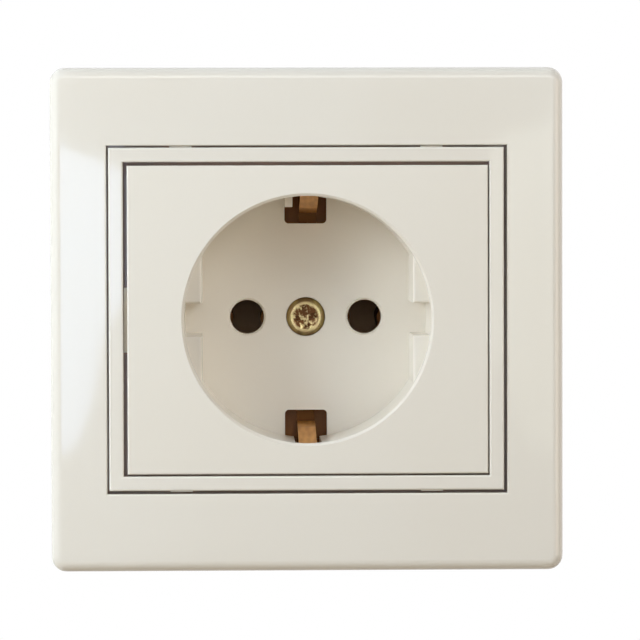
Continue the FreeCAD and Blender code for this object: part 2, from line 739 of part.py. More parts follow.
def make_base():
    piece = Piece("base_body")
    piece.pad("body", D.base_depth, MIDDLE, lambda o: o.circle(base_radius))
    piece.round_edges(
        "rear_edge",
        D.base_edge,
        lambda e: at_depth(e, D.base_depth) and is_round(e, base_radius),
        "Chamfer",
    )
    piece.pad("collar", collar_depth, MIDDLE, lambda o: o.circle(collar_outer))

    def bosses(outline):
        for side in (-1.0, 1.0):
            for level in (-1.0, 1.0):
                outline.circle(D.pilot_radius + D.boss_wall, side * fixing_place, level * fixing_place)

    def channel_walls(outline):
        outline.rectangle(D.notch_width + 3.0, 2 * (spring_channel + 1.3))

    def flats(outline):
        for side in (-1.0, 1.0):
            edges = sorted((side * collar_flat, side * (collar_outer + 1.0)), key=float)
            outline.box(edges[0], edges[1], -collar_outer, collar_outer)

    piece.pad("bosses", collar_depth - 1.5, MIDDLE, bosses)
    piece.pad("channel_walls", collar_depth, MIDDLE, channel_walls)
    piece.pocket("flats", MIDDLE, collar_depth, flats)

    def access_flats(outline):
        """The body is cut flat above and below, so a driver reaches the terminal screws."""
        for level in (-1.0, 1.0):
            edges = sorted((level * (base_radius - D.access_depth), level * (base_radius + 1.0)), key=float)
            outline.box(-base_radius, base_radius, edges[0], edges[1])

    piece.pocket("access_flats", terminal_front - 1.0, terminal_back, access_flats)

    for name, side in SIDES.items():
        middle = -side * D.claw_offset
        rail_high = (D.claw_width - D.rail_groove) / 2
        for part, level in (("upper", 1.0), ("lower", -1.0)):
            centre = middle + level * (D.rail_groove + rail_high) / 2
            piece.pad_up(
                f"rail_{name}_{part}",
                centre - rail_high / 2,
                centre + rail_high / 2,
                lambda o: o.polygon(rail_outline(side)),
            )

    piece.pocket("cup_room", MIDDLE, strap_back, lambda o: o.circle(collar_inner))
    piece.pocket("cover_seat", strap_back, chamber_front, lambda o: o.circle(cover_radius + 0.15))
    piece.pocket(
        "spring_channels",
        MIDDLE,
        strap_back + D.seat_gap,
        lambda o: o.rectangle(D.notch_width, 2 * spring_channel),
    )

    def pin_chambers(outline):
        for side in (-1.0, 1.0):
            outline.rectangle(D.chamber_wide, D.chamber_high, side * pin_place, MIDDLE)

    def terminal_chambers(outline):
        inner = pin_place - D.chamber_wide / 2
        outer = pin_place + D.terminal_wide / 2 + D.chamber_gap
        for side in (-1.0, 1.0):
            edges = sorted((side * inner, side * outer), key=float)
            outline.box(edges[0], edges[1], D.chamber_high / 2, live_top + D.chamber_gap)
        half = D.terminal_wide / 2 + D.chamber_gap
        outline.box(-half, half, earth_low - D.chamber_gap, -(D.earth_top - D.sheet_thick - D.chamber_gap))

    piece.pocket("pin_chambers", chamber_front, chamber_back, pin_chambers)
    piece.pocket("terminal_chambers", chamber_front, chamber_back, terminal_chambers)
    nut_room = D.nut_width + 0.3
    piece.pocket("nut_room", chamber_front, chamber_front + D.nut_thick + 0.1, lambda o: o.rectangle(nut_room, nut_room))
    piece.pocket("screw_room", chamber_front, chamber_front + 6.5, lambda o: o.circle(D.bolt_radius + 0.3))

    def wire_entries(outline):
        for side in (-1.0, 1.0):
            outline.circle(D.entry_radius, side * pin_place, live_wire_up)
        outline.circle(D.entry_radius, MIDDLE, earth_wire_up)

    piece.pocket("wire_entries", chamber_back, D.base_depth, wire_entries)
    piece.round_edges(
        "entry_funnels",
        D.entry_funnel,
        lambda e: at_depth(e, D.base_depth) and is_round(e, D.entry_radius),
        "Chamfer",
    )

    def live_screw_openings(outline):
        for side in (-1.0, 1.0):
            outline.circle(D.screw_head + 0.4, side * pin_place, terminal_screw_y)

    piece.pocket_down("live_screw_openings", collar_outer, live_top, live_screw_openings)
    piece.pocket_down(
        "earth_screw_opening",
        earth_low,
        -collar_outer,
        lambda o: o.circle(D.screw_head + 0.4, MIDDLE, terminal_screw_y),
    )

    def bracket_pilots(outline):
        for side in (-1.0, 1.0):
            for level in (-1.0, 1.0):
                outline.circle(D.pilot_radius + 0.02, side * fixing_place, level * fixing_place)

    def cover_pilots(outline):
        for side in (-1.0, 1.0):
            outline.circle(D.pilot_radius + 0.02, side * cover_screw_x, cover_screw_z)

    piece.pocket("bracket_pilots", MIDDLE, MIDDLE + D.pilot_depth, bracket_pilots)
    piece.pocket("cover_pilots", chamber_front, chamber_front + D.pilot_depth, cover_pilots)
    return piece.body


# Cover over the contact chambers


def make_contact_cover():
    piece = Piece("contact_cover")

    def face(outline):
        outline.circle(cover_radius)
        outline.circle(D.bolt_radius + 0.2)
        for side in (-1.0, 1.0):
            outline.circle(D.pin_hole_radius, side * pin_place)
            outline.circle(D.pilot_radius + 0.15, side * cover_screw_x, cover_screw_z)
        tongue = D.earth_top - D.sheet_thick / 2 - D.slack
        outline.rectangle(tongue_width + 0.6, D.sheet_thick + 0.6, MIDDLE, -tongue)

    piece.pad("disc", cover_back, cover_front, face)
    return piece.body


# Folded sheet metal


def offset_points(points, distance):
    """The corners of a bent line moved sideways by distance, to its left."""
    moved = []
    for i, point in enumerate(points):
        before = points[max(i - 1, 0)]
        after = points[min(i + 1, len(points) - 1)]
        first = (point - before).normalize() if i else (after - point).normalize()
        last = (after - point).normalize() if i < len(points) - 1 else first
        half = (first + last).normalize()
        left = Vector(-half.y, half.x, 0)
        moved.append(point + left * (distance / max(half.dot(first), 0.2)))
    return moved


def rounded_edges(points, bend, distance):
    """Straight runs joined by tangent arcs, for one face of the sheet."""
    edges = []
    start = points[0]
    for before, point, after in zip(points, points[1:], points[2:]):
        into = (point - before).normalize()
        out = (after - point).normalize()
        turn = into.x * out.y - into.y * out.x
        angle = math.acos(max(-1.0, min(1.0, into.dot(out))))
        radius = bend - distance if turn > 0 else bend + distance
        cut = radius * math.tan(angle / 2)
        first = point - into * cut
        last = point + out * cut
        inward = (out - into).normalize()
        centre = point + inward * (radius / math.cos(angle / 2))
        middle = centre - inward * radius
        edges.append(Part.LineSegment(start, first).toShape())
        edges.append(Part.Arc(first, middle, last).toShape())
        start = last
    edges.append(Part.LineSegment(start, points[-1]).toShape())
    return edges


def folded_face(points, thick, bend):
    """The section of a sheet folded along points, which lie on its middle."""
    half = thick / 2
    left = offset_points(points, half)
    right = offset_points(points, -half)
    edges = rounded_edges(left, bend, half)
    edges.append(Part.LineSegment(left[-1], right[-1]).toShape())
    edges += rounded_edges(right[::-1], bend, half)
    edges.append(Part.LineSegment(right[0], left[0]).toShape())
    return Part.Face(Part.Wire(Part.__sortEdges__(edges)))


def strip(points, thick, bend, width):
    """A folded strip: its section lies on X and Y, its width along Z, about the middle."""
    section = folded_face([Vector(float(a), float(b), 0) for a, b in points], thick, bend)
    section.translate(Vector(0, 0, -width / 2))
    return section.extrude(Vector(0, 0, width))


def feature(label, shape, place=Vector(), turn=Rotation()):
    made = doc.addObject("Part::Feature", label)
    made.Label = label
    made.Shape = shape
    made.Placement = Placement(place, turn)
    return made


def block(left, right, front, back, low, high):
    size = Vector(float(right - left), float(back - front), float(high - low))
    return Part.makeBox(size.x, size.y, size.z, Vector(float(left), float(front), float(low)))


# Earth strap with its two springs


def spring_path(level):
    """Side view (Y, Z) of one earth spring, from the strap's middle to its free tip."""
    outside = cup_radius + 0.3 + D.sheet_thick / 2
    bar = (strap_front + strap_back) / 2
    turn = plate_face + D.slot_top + 0.7
    inner = outside - 1.75
    return [
        (bar, MIDDLE),
        (bar, level * outside),
        (turn, level * outside),
        (turn, level * inner),
        (MIDDLE + 1.0, level * (D.finger_tip + 1.2)),
        (floor_front - 1.2, level * (D.finger_tip + D.sheet_thick / 2)),
    ]


def make_earth_strap():
    thick = float(D.sheet_thick)
    parts = []
    for level, aside in ((-1.0, 0.0), (1.0, float(D.finger_aside))):
        arm = strip(spring_path(level), thick, 0.65, float(D.finger_width))
        # The section was drawn on (Y, Z), so X becomes Y, Y becomes Z and Z becomes X.
        turn = FreeCAD.Matrix(0, 0, 1, aside, 1, 0, 0, 0, 0, 1, 0, 0, 0, 0, 0, 1)
        parts.append(arm.transformGeometry(turn))
    reach = D.window_inner - D.strap_setback
    half = D.strap_width / 2
    parts.append(block(-half, half, strap_front, strap_back, -reach, reach))
    tongue_half = tongue_width / 2
    tongue_low = -(D.earth_top - D.slack)
    tongue_high = tongue_low + D.sheet_thick
    parts.append(block(-tongue_half, tongue_half, strap_front, terminal_screw_y, tongue_low, tongue_high))
    strap = parts[0].multiFuse(parts[1:]).removeSplitter()
    hole = Part.makeCylinder(
        float(D.bolt_radius) + 0.2, 4.0, Vector(0, float(strap_front) - 2.0, 0), Vector(0, 1, 0)
    )
    return feature("earth_strap", strap.cut(hole))


# Spring contacts for the pins


def make_contact(name, side):
    """A clip like an upside-down U: its legs pinch the pin, and a tab leads to the terminal."""
    thick = float(D.leaf_thick)
    half = thick / 2
    crown = D.leaf_high / 2 + 0.2
    shoulder = (D.leaf_spread + half, crown - 1.5)
    leg = [
        (D.leaf_spread, -D.leaf_high / 2),
        (D.pinch + half, MIDDLE),
        shoulder,
        (shoulder[0], crown),
    ]
    opposite = [(-across, up) for across, up in leg]
    front = chamber_front + 0.6
    back = terminal_back
    clip = strip(opposite + leg[::-1], thick, 0.8, float(back - front))
    # The section was drawn on (X, Z), so it is turned upright and moved to its depth.
    clip.rotate(Vector(0, 0, 0), Vector(1, 0, 0), 90)
    clip.translate(Vector(0, float(front + back) / 2, 0))
    inside = -D.leaf_spread - D.leaf_thick
    outside = inside + D.leaf_thick
    tab_back = back - 1.5
    tab_front = front + (back - front) * 0.4
    root_front = front + (back - front) * 0.7
    tab_root = block(inside, outside, root_front, tab_back, shoulder[1], D.terminal_low + 1.0)
    tab = block(inside, outside, tab_front, tab_back, D.terminal_low + 0.5, live_top - 0.5)
    solid = clip.multiFuse([tab_root, tab]).removeSplitter()
    if side < 0:
        solid = solid.mirror(Vector(0, 0, 0), Vector(1, 0, 0))
    return feature(f"contact_{name}", solid, Vector(side * float(pin_place), 0, 0))


# Terminals: block and screw


def bound_box(name, left, right, front, back, low, high):
    box = doc.addObject("Part::Box", name)
    box.setExpression("Length", (right - left).text)
    box.setExpression("Width", (back - front).text)
    box.setExpression("Height", (high - low).text)
    box.setExpression("Placement.Base.x", left.text)
    box.setExpression("Placement.Base.y", front.text)
    box.setExpression("Placement.Base.z", low.text)
    return box


AXES = {"+Y": Vector(0, 1, 0), "+Z": Vector(0, 0, 1), "-Z": Vector(0, 0, -1)}


def bound_cylinder(name, radius, length, start, axis):
    rod = doc.addObject("Part::Cylinder", name)
    rod.setExpression("Radius", (MIDDLE + radius).text)
    rod.setExpression("Height", (MIDDLE + length).text)
    rod.Placement = Placement(Vector(), Rotation(Vector(0, 0, 1), AXES[axis]))
    for letter, place in zip("xyz", start):
        rod.setExpression(f"Placement.Base.{letter}", (MIDDLE + place).text)
    return rod


def cut_away(label, base, tools):
    for i, tool in enumerate(tools, start=1):
        made = doc.addObject("Part::Cut", f"{label}_cut_{i}")
        made.Base = base
        made.Tool = tool
        base = made
    base.Label = label
    doc.recompute()
    return base


def make_terminal(name, across, low, high, wire_up, axis):
    label = f"terminal_{name}"
    left = across - D.terminal_wide / 2
    right = across + D.terminal_wide / 2
    body = bound_box(f"{label}_block", left, right, terminal_front, terminal_back, low, high)
    wire = bound_cylinder(
        f"{label}_wire_hole",
        D.wire_radius,
        terminal_deep,
        (across, terminal_front + 2.0, wire_up),
        "+Y",
    )
    thread = bound_cylinder(
        f"{label}_thread",
        D.screw_radius + D.slack,
        D.terminal_high,
        (across, terminal_screw_y, wire_up),
        axis,
    )
    return cut_away(label, body, [wire, thread])


def make_terminal_screw(name, across, wire_up, top, axis):
    """A screw with a slotted cheese head, its tip just short of the wire."""
    label = f"terminal_screw_{name}"
    sign = 1.0 if axis == "+Z" else -1.0
    tip = wire_up + sign * (D.wire_radius + 0.1)
    seat = top + sign * 0.3
    length = (seat - tip) * sign
    shank = bound_cylinder(f"{label}_shank", D.screw_radius, length, (across, terminal_screw_y, tip), axis)
    head = bound_cylinder(f"{label}_head", D.screw_head, MIDDLE + 1.8, (across, terminal_screw_y, seat), axis)
    joined = doc.addObject("Part::Fuse", f"{label}_joined")
    joined.Base = shank
    joined.Tool = head
    crown = seat + sign * 1.8
    low, high = sorted((crown - sign * 0.9, crown + sign * 0.5), key=float)
    groove = bound_box(
        f"{label}_groove",
        across - D.screw_head - 0.5,
        across + D.screw_head + 0.5,
        terminal_screw_y - 0.4,
        terminal_screw_y + 0.4,
        low,
        high,
    )
    return cut_away(label, joined, [groove])


# Screws turned about an axis along Y


def turned(points):
    """A solid turned about the Y axis from points (radius, y) that start and end on the axis."""
    corners = [Vector(float(radius), float(y), 0) for radius, y in points]
    face = Part.Face(Part.makePolygon(corners + corners[:1]))
    return face.revolve(Vector(0, 0, 0), Vector(0, 1, 0), 360)


def pan_head_screw(radius, head_radius, head_high, seat, tip, groove_wide, groove_deep):
    """A screw whose head lies ahead of y=seat and whose tip is at y=tip."""
    crown = seat - head_high
    solid = turned(
        [
            (0.0, crown),
            (head_radius * 0.85, crown),
            (head_radius, seat),
            (radius, seat),
            (radius, tip),
            (0.0, tip),
        ]
    )
    groove = Part.makeBox(
        2 * head_radius + 1.0,
        groove_deep + 1.0,
        groove_wide,
        Vector(-head_radius - 0.5, crown - 1.0, -groove_wide / 2),
    )
    return solid.cut(groove)


def make_centre_screw():
    """A pan head with a shallow dish and, in it, a combined slot and cross recess."""
    radius = float(D.bolt_radius) - float(D.slack)
    head = float(D.bolt_head)
    seat = float(floor_front + D.recess_depth)
    crown = seat - float(D.bolt_head_high)
    tip = float(chamber_front + D.nut_thick) + 3.2
    flat = float(D.bolt_crown)
    dish = flat * 0.8
    dish_deep = 0.35
    solid = turned(
        [
            (0.0, crown + dish_deep),
            (dish, crown),
            (flat, crown),
            (head, crown + 1.0),
            (head, seat),
            (radius, seat),
            (radius, tip - 0.5),
            (radius - 0.5, tip),
            (0.0, tip),
        ]
    )
    slot_wide, slot_reach, slot_deep = 0.7, dish, 1.0
    wing_wide, wing_reach, wing_deep = 0.85, dish * 0.86, 1.3
    recesses = (
        (slot_wide, 2 * slot_reach, slot_deep),
        (2 * wing_reach, wing_wide, wing_deep),
        (wing_wide, 2 * wing_reach, wing_deep),
    )
    for wide, high, deep in recesses:
        solid = solid.cut(Part.makeBox(wide, deep + 1.0, high, Vector(-wide / 2, crown - 1.0, -high / 2)))
    # The screw stopped with its slot a little off upright.
    return feature("centre_screw", solid, Vector(), Rotation(Vector(0, 1, 0), -8.6))


def make_centre_nut():
    half = D.nut_width / 2
    front = chamber_front + 0.05
    body = bound_box("centre_nut_block", -half, half, front, front + D.nut_thick, -half, half)
    hole = bound_cylinder("centre_nut_hole", D.bolt_radius, D.nut_thick + 2.0, (MIDDLE, front - 1.0, MIDDLE), "+Y")
    return cut_away("centre_nut", body, [hole])


def make_bracket_screws():
    """Four alike thread-forming screws that hold the base to the bracket."""
    radius = float(D.pilot_radius)
    head = float(D.small_head)
    seat = -float(D.bracket_thick)
    solids = []
    for side in (-1.0, 1.0):
        for level in (-1.0, 1.0):
            screw = pan_head_screw(radius, head, 1.1, seat, float(D.pilot_depth) - 1.0, 0.5, 0.6)
            screw.translate(Vector(side * float(fixing_place), 0, level * float(fixing_place)))
            solids.append(screw)
    return feature("bracket_screws", Part.makeCompound(solids))


def make_cover_screws():
    """Two alike thread-forming screws that hold the cover over the chambers."""
    seat = float(cover_front)
    radius = float(D.pilot_radius)
    head = float(D.small_head)
    solids = []
    for side in (-1.0, 1.0):
        screw = pan_head_screw(radius, head, 0.75, seat, seat + float(D.pilot_depth), 0.5, 0.4)
        screw.translate(Vector(side * float(cover_screw_x), 0, float(cover_screw_z)))
        solids.append(screw)
    return feature("cover_screws", Part.makeCompound(solids))


# Claws that spread in the wall box


def claw_centre(side):
    return Vector(side * float(claw_place), 0, -side * float(D.claw_offset))


def make_claw_screw(name, side):
    """A long screw held loosely in the bracket, free to lean with its claw."""
    seat = -float(D.bracket_thick + D.claw_head_gap)
    tip = float(claw_front + D.claw_thick * 2)
    screw = pan_head_screw(float(D.claw_screw_radius), float(D.claw_head), 1.7, seat, tip, 0.8, 0.9)
    return feature(f"claw_screw_{name}", screw, claw_centre(side))


def make_claw(name, side):
    """A folded steel claw: a threaded foot, an arm and two teeth."""
    thick = float(D.claw_thick)
    width = float(D.claw_width)
    inner = float(D.claw_foot_gap - D.claw_stand)
    outer = float(D.claw_reach)
    foot = float(claw_front) + thick / 2
    arm_end = foot - float(D.claw_arm)
    tooth = float(D.claw_tooth)
    points = [(inner, foot), (outer, foot), (outer, arm_end + tooth), (outer + float(D.claw_flare), arm_end)]
    arm_thick = thick * 0.75
    solid = strip(points, arm_thick, arm_thick * 0.56, width)
    foot_plate = Part.makeBox(
        outer - inner - arm_thick / 2, thick, width, Vector(inner, float(claw_front), -width / 2)
    )
    solid = solid.fuse(foot_plate).removeSplitter()
    gap_wide = width * 0.36
    notch = Part.makeBox(
        4 * arm_thick, 2 * tooth, gap_wide, Vector(outer - arm_thick, arm_end - tooth, -gap_wide / 2)
    )
    start = Vector(0, float(claw_front) - thick, 0)
    hole = Part.makeCylinder(float(D.claw_screw_radius + D.slack), 3 * thick, start, Vector(0, 1, 0))
    solid = solid.cut(notch).cut(hole)
    if side < 0:
        solid = solid.mirror(Vector(0, 0, 0), Vector(1, 0, 0))
    return feature(f"claw_{name}", solid, claw_centre(side))


# Make every piece


def make_all():
    pieces = [
        make_cover_frame(),
        make_trim_ring(),
        make_socket_plate(),
        make_bracket(),
        make_base(),
        make_contact_cover(),
        make_earth_strap(),
        make_centre_screw(),
        make_centre_nut(),
        make_bracket_screws(),
        make_cover_screws(),
        make_terminal("earth", MIDDLE, earth_low, -D.earth_top, earth_wire_up, "-Z"),
        make_terminal_screw("earth", MIDDLE, earth_wire_up, earth_low, "-Z"),
    ]
    for name, side in SIDES.items():
        across = side * pin_place
        pieces += [
            make_contact(name, side),
            make_terminal(name, across, D.terminal_low, live_top, live_wire_up, "+Z"),
            make_terminal_screw(name, across, live_wire_up, live_top, "+Z"),
            make_claw_screw(name, side),
            make_claw(name, side),
        ]
    return pieces


def check_and_write(pieces):
    doc.recompute()
    for item in doc.Objects:
        if "Invalid" in item.State or "Error" in item.State:
            raise RuntimeError(f"{item.Label} failed: {item.State}")
    os.makedirs("parts", exist_ok=True)
    for piece in pieces:
        shape = piece.Shape
        if shape.isNull() or not shape.isValid() or not shape.Solids:
            raise RuntimeError(f"{piece.Label} has no valid solid")
    for piece in pieces:
        piece.Shape.exportStep(f"parts/{piece.Label}.step")
        print(piece.Label, len(piece.Shape.Solids), round(piece.Shape.Volume, 1))


check_and_write(make_all())
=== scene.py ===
"""A type f wall socket, dressed and lit like a studio picture of it.

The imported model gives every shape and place. This script gives each piece its finish, adds the
threads that the model leaves out, and sets up the camera, the lamps and the floor.
"""

import json
import logging
import math
from dataclasses import dataclass, field
from enum import Enum

import bmesh
import bpy
from mathutils import Matrix, Vector


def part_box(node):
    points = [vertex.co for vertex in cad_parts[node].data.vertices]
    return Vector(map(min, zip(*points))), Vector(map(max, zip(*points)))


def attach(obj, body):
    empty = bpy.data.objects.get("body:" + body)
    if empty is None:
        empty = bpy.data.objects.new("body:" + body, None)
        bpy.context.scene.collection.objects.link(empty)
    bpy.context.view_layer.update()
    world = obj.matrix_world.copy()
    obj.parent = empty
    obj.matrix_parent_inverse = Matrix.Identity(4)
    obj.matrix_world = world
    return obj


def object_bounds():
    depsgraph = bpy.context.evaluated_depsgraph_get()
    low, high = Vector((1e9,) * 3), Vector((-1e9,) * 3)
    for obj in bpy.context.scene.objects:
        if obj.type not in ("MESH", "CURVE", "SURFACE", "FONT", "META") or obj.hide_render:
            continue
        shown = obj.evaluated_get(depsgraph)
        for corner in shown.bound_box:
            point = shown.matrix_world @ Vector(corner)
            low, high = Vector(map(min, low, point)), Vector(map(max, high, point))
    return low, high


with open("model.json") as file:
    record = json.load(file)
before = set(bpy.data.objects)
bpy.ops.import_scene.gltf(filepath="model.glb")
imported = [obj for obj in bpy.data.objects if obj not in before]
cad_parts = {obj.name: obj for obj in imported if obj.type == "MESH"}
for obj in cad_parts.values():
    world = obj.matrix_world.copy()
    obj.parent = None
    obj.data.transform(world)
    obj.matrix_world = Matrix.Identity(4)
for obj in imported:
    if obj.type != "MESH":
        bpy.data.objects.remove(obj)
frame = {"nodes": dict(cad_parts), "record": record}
CAD_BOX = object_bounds()

MM = 0.001

Colour = tuple[float, float, float]
Scale = tuple[float, float, float]

WHITE: Colour = (1.0, 1.0, 1.0)
CREAM: Colour = (0.905, 0.856, 0.768)
DEEP_CREAM: Colour = (0.895, 0.841, 0.748)
EVEN: Scale = (1.0, 1.0, 1.0)

log = logging.getLogger("wall_socket")


class Signal:
    """A number on a shader socket that takes part in Python arithmetic."""

    def __init__(self, shader: "Shader", socket: bpy.types.NodeSocket) -> None:
        """Wraps one output socket.

        Args:
            shader: the shader that the socket belongs to.
            socket: the output socket.
        """
        self.shader = shader
        self.socket = socket

    def _join(self, operation: str, first: "Value", second: "Value") -> "Signal":
        """Adds one Math node.

        Args:
            operation: the Math node's operation.
            first: its first value.
            second: its second value.

        Returns:
            The node's result.
        """
        settings = {"operation": operation}
        return self.shader.node("ShaderNodeMath", settings, {0: first, 1: second})

    def __add__(self, other: "Value") -> "Signal":
        """self + other."""
        return self._join("ADD", self, other)

    def __radd__(self, other: "Value") -> "Signal":
        """other + self."""
        return self._join("ADD", other, self)

    def __sub__(self, other: "Value") -> "Signal":
        """self - other."""
        return self._join("SUBTRACT", self, other)

    def __rsub__(self, other: "Value") -> "Signal":
        """other - self."""
        return self._join("SUBTRACT", other, self)

    def __mul__(self, other: "Value") -> "Signal":
        """self * other."""
        return self._join("MULTIPLY", self, other)

    def __rmul__(self, other: "Value") -> "Signal":
        """other * self."""
        return self._join("MULTIPLY", other, self)

    def larger(self, other: "Value") -> "Signal":
        """The larger of self and other."""
        return self._join("MAXIMUM", self, other)

    def size(self) -> "Signal":
        """self without its sign."""
        return self.larger(0.0 - self)


Value = Signal | float | tuple


class Shader:
    """Adds nodes to one node tree."""

    MIX_FIRST = 6
    MIX_SECOND = 7
    MIX_RESULT = 2

    def __init__(self, tree: bpy.types.NodeTree) -> None:
        """Takes a node tree to add to.

        Args:
            tree: the tree of a material or of the world.
        """
        self.tree = tree

    def feed(self, node: bpy.types.Node, inputs: dict) -> None:
        """Sets or links a node's input sockets.

        Args:
            node: the node.
            inputs: socket names or numbers, with the value or Signal of each.
        """
        for key, value in inputs.items():
            socket = node.inputs[key]
            if isinstance(value, Signal):
                self.tree.links.new(value.socket, socket)
            elif isinstance(value, tuple) and socket.type == "RGBA":
                socket.default_value = (*value, 1.0)
            else:
                socket.default_value = value

    def node(self, kind: str, settings: dict | None = None, inputs: dict | None = None,
             output: int | str = 0) -> Signal:
        """Adds a node, settings first, then its sockets.

        Args:
            kind: the node's type name.
            settings: attributes such as a Math node's operation.
            inputs: socket names or numbers, with the value or Signal of each.
            output: which output to return.

        Returns:
            The chosen output.
        """
        made = self.tree.nodes.new(kind)
        for name, value in (settings or {}).items():
            setattr(made, name, value)
        self.feed(made, inputs or {})
        return Signal(self, made.outputs[output])

    def show(self, surface: Signal, output: str = "Material Output") -> None:
        """Shows a surface through the tree's output node."""
        self.feed(self.tree.nodes[output], {"Surface": surface})

    def place(self, stretch: Scale = EVEN) -> Signal:
        """Object coordinates in metres.

        Args:
            stretch: the scale along each axis, for a pattern that is drawn out.

        Returns:
            The vector output.
        """
        here = self.node("ShaderNodeTexCoord", output="Object")
        if stretch == EVEN:
            return here
        return self.node("ShaderNodeMapping", inputs={"Vector": here, "Scale": stretch})

    def noise(self, size: float, detail: float = 2.0, stretch: Scale = EVEN) -> Signal:
        """Soft noise whose spots are about the given size.

        Args:
            size: the size of a spot in metres.
            detail: how many finer layers are added.
            stretch: the scale along each axis.

        Returns:
            A value from 0 to 1.
        """
        inputs = {"Vector": self.place(stretch), "Scale": 1.0 / size, "Detail": detail}
        return self.node("ShaderNodeTexNoise", inputs=inputs)

    def contrast(self, value: Signal, low: float, high: float) -> Signal:
        """Stretches low to high over 0 to 1, clipped."""
        inputs = {"Value": value, "From Min": low, "From Max": high}
        return self.node("ShaderNodeMapRange", {"clamp": True}, inputs)

    def blend(self, factor: Value, first: Value, second: Value) -> Signal:
        """Mixes two colours.

        Args:
            factor: 0 gives the first colour and 1 the second.
            first: the first colour.
            second: the second colour.

        Returns:
            The mixed colour.
        """
        inputs = {0: factor, self.MIX_FIRST: first, self.MIX_SECOND: second}
        return self.node("ShaderNodeMix", {"data_type": "RGBA"}, inputs, self.MIX_RESULT)

    def mix_surfaces(self, factor: Signal, first: Signal, second: Signal) -> Signal:
        """Mixes two surface shaders, of which a factor of 0 gives the first."""
        return self.node("ShaderNodeMixShader", inputs={0: factor, 1: first, 2: second})

    def part(self, vector: Signal, axis: str) -> Signal:
        """One component, X, Y or Z, of a vector."""
        return self.node("ShaderNodeSeparateXYZ", inputs={"Vector": vector}, output=axis)

    def length(self, vector: Signal) -> Signal:
        """The length of a vector."""
        settings = {"operation": "LENGTH"}
        return self.node("ShaderNodeVectorMath", settings, {0: vector}, "Value")

    def radius(self) -> Signal:
        """The distance in metres from the line along Y through the origin."""
        return self.length(self.place((1.0, 0.0, 1.0)))

    def bump(self, height: Signal, depth: float, strength: float = 1.0,
             under: Signal | None = None) -> Signal:
        """A Bump node.

        Args:
            height: the height, from 0 to 1.
            depth: how deep the full height is, in metres.
            strength: the share of the effect that shows.
            under: another bump that this one lies on.

        Returns:
            The bent normal.
        """
        inputs: dict = {"Height": height, "Distance": depth, "Strength": strength}
        if under is not None:
            inputs["Normal"] = under
        return self.node("ShaderNodeBump", inputs=inputs)


@dataclass(frozen=True)
class Spots:
    """Soft noise with more contrast.

    A spot is about size metres wide, and detail is the number of finer layers. The noise's
    values low and high become 0 and 1.
    """

    size: float
    detail: float
    low: float
    high: float

    def on(self, shader: Shader, stretch: Scale = EVEN) -> Signal:
        """The spots, as a value from 0 to 1.

        Args:
            shader: adds nodes to the tree.
            stretch: the scale along each axis.

        Returns:
            The value.
        """
        return shader.contrast(
            shader.noise(self.size, self.detail, stretch), self.low, self.high)


def new_material(name: str) -> bpy.types.Material:
    """A new material that has nodes."""
    made = bpy.data.materials.new(name)
    made.use_nodes = True
    return made


class Finish:
    """A procedural material that is made once and shared."""

    name: str

    def material(self) -> bpy.types.Material:
        """The finish's material, made at its first use."""
        full_name = "finish_" + self.name
        ready = bpy.data.materials.get(full_name)
        if ready:
            return ready
        made = new_material(full_name)
        self.paint(Shader(made.node_tree), made.node_tree.nodes["Principled BSDF"])
        return made

    def paint(self, shader: Shader, surface: bpy.types.Node) -> None:
        """Fills the material's node tree.

        Args:
            shader: adds nodes to the tree.
            surface: the tree's surface shader.
        """
        raise NotImplementedError


@dataclass(frozen=True)
class MouldedPlastic(Finish):
    """Smooth moulded plastic with faint sink marks and a slight unevenness in its colour."""

    name: str
    colour: Colour
    shade: Colour
    roughness: float
    gloss: float
    drift: Spots = Spots(30 * MM, 1.0, 0.35, 0.65)
    specks: Spots = Spots(0.9 * MM, 3.0, 0.62, 0.8)
    speck_share: float = 0.25
    handled: Spots = Spots(9 * MM, 4.0, 0.45, 0.8)
    handled_roughness: float = 0.05
    sink_size: float = 26 * MM
    sink_depth: float = 0.03 * MM
    grain_size: float = 0.4 * MM
    grain_depth: float = 0.001 * MM
    grain_strength: float = 0.6
    coat_roughness: float = 0.03
    ior: float = 1.49

    def tone(self, shader: Shader) -> Signal:
        """The colour, which drifts softly and has faint specks."""
        tone = shader.blend(self.drift.on(shader), self.colour, self.shade)
        return shader.blend(self.specks.on(shader) * self.speck_share, tone, self.shade)

    def paint(self, shader: Shader, surface: bpy.types.Node) -> None:
        """Satin grain and long shallow waves under a coat."""
        waves = shader.bump(shader.noise(self.sink_size, detail=0.0), self.sink_depth)
        grain = shader.noise(self.grain_size)
        shader.feed(surface, {
            "Base Color": self.tone(shader),
            "Roughness": self.handled.on(shader) * self.handled_roughness + self.roughness,
            "Normal": shader.bump(grain, self.grain_depth, self.grain_strength, waves),
            "Coat Weight": self.gloss,
            "Coat Roughness": self.coat_roughness,
            "IOR": self.ior,
        })


@dataclass(frozen=True)
class GapShadedPlastic(MouldedPlastic):
    """Moulded plastic with painted shade, brown, deep in the gaps round the frame's opening.

    The painted shade starts at one depth along Y, is full at the next, and ends at the back. It
    keeps within half_width and half_height of the middle.
    """

    # The brown of the painted shade in the gaps.
    gap_shade: Colour = (0.60, 0.33, 0.22)
    half_width: float = 31.75 * MM
    half_height: float = 27.65 * MM
    side_blur: float = 0.2 * MM
    starts: float = -9.2 * MM
    full: float = -5.4 * MM
    back: float = -3.6 * MM
    back_blur: float = 0.4 * MM

    def tone(self, shader: Shader) -> Signal:
        """The plain colour, and painted shade by depth inside the frame's opening."""
        place = shader.place()
        across, up = shader.part(place, "X"), shader.part(place, "Z")
        aside = (across.size() - self.half_width).larger(up.size() - self.half_height)
        inside = 1.0 - shader.contrast(aside, 0.0, self.side_blur)
        depth = shader.part(place, "Y")
        deep = shader.contrast(depth, self.starts, self.full)
        front = 1.0 - shader.contrast(depth, self.back, self.back + self.back_blur)
        # Painted shade: the colour turns brown deep in the gaps, where shade falls.
        return shader.blend(inside * deep * front, super().tone(shader), self.gap_shade)


